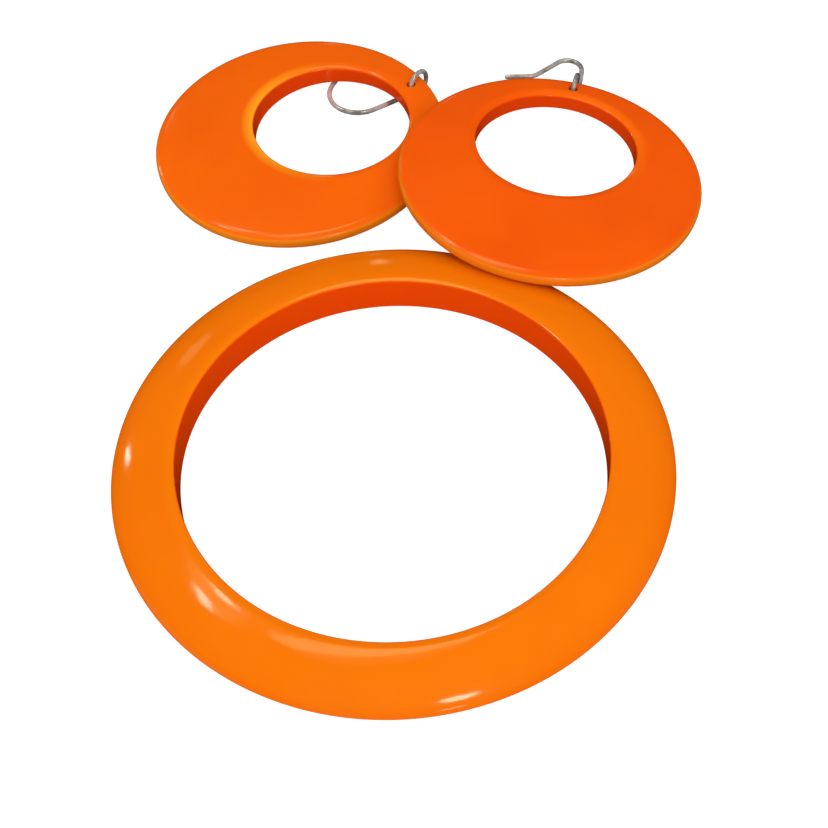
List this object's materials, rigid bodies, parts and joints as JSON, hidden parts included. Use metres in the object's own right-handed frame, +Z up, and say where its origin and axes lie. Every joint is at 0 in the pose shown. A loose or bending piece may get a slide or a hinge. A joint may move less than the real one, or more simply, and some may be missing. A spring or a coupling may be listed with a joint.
{
  "type": "bangle and disc earring set",
  "caption": "Closed wedge-section bangle with matching large pierced disc earrings on bent metal ear wires, laid out overlapping on a flat surface.",
  "frame": {"origin": "on the surface the set lies on, under the middle of the whole set's outline", "axes": "+Z up from the surface, +Y from the bangle towards the earrings, +X from the left earring towards the right one"},
  "size_m": [0.0996, 0.1435, 0.0095],
  "materials": {
    "bangle_plastic": "smooth glossy orange moulded plastic",
    "disc_plastic": "smooth glossy orange plastic, slightly redder than the bangle",
    "wire_metal": "bright drawn silver-coloured wire"
  },
  "bodies": {
    "bangle": {"bangle": "bangle_plastic"},
    "left_disc": {"left_disc": "disc_plastic"},
    "left_ear_wire": {"left_ear_wire": "wire_metal"},
    "right_disc": {"right_disc": "disc_plastic"},
    "right_ear_wire": {"right_ear_wire": "wire_metal"}
  },
  "joints": [
    {"name": "left_disc_slide", "type": "slide", "parent": "bangle", "child": "left_disc", "axis": [-1, 0, 0], "range_m": [0, 0.06]},
    {"name": "left_ear_wire_swing", "type": "hinge", "parent": "left_disc", "child": "left_ear_wire", "pos_m": [0.00101, 0.0575, 0.00302], "axis": [0.7658, -0.6427, 0.0241], "range_deg": [0, 180]},
    {"name": "right_disc_lift", "type": "slide", "parent": "bangle", "child": "right_disc", "axis": [0, 0, 1], "range_m": [0, 0.04]},
    {"name": "right_ear_wire_swing", "type": "hinge", "parent": "right_disc", "child": "right_ear_wire", "pos_m": [0.03032, 0.05358, 0.00335], "axis": [0.9467, -0.3149, -0.0672], "range_deg": [0, 180]}
  ]
}
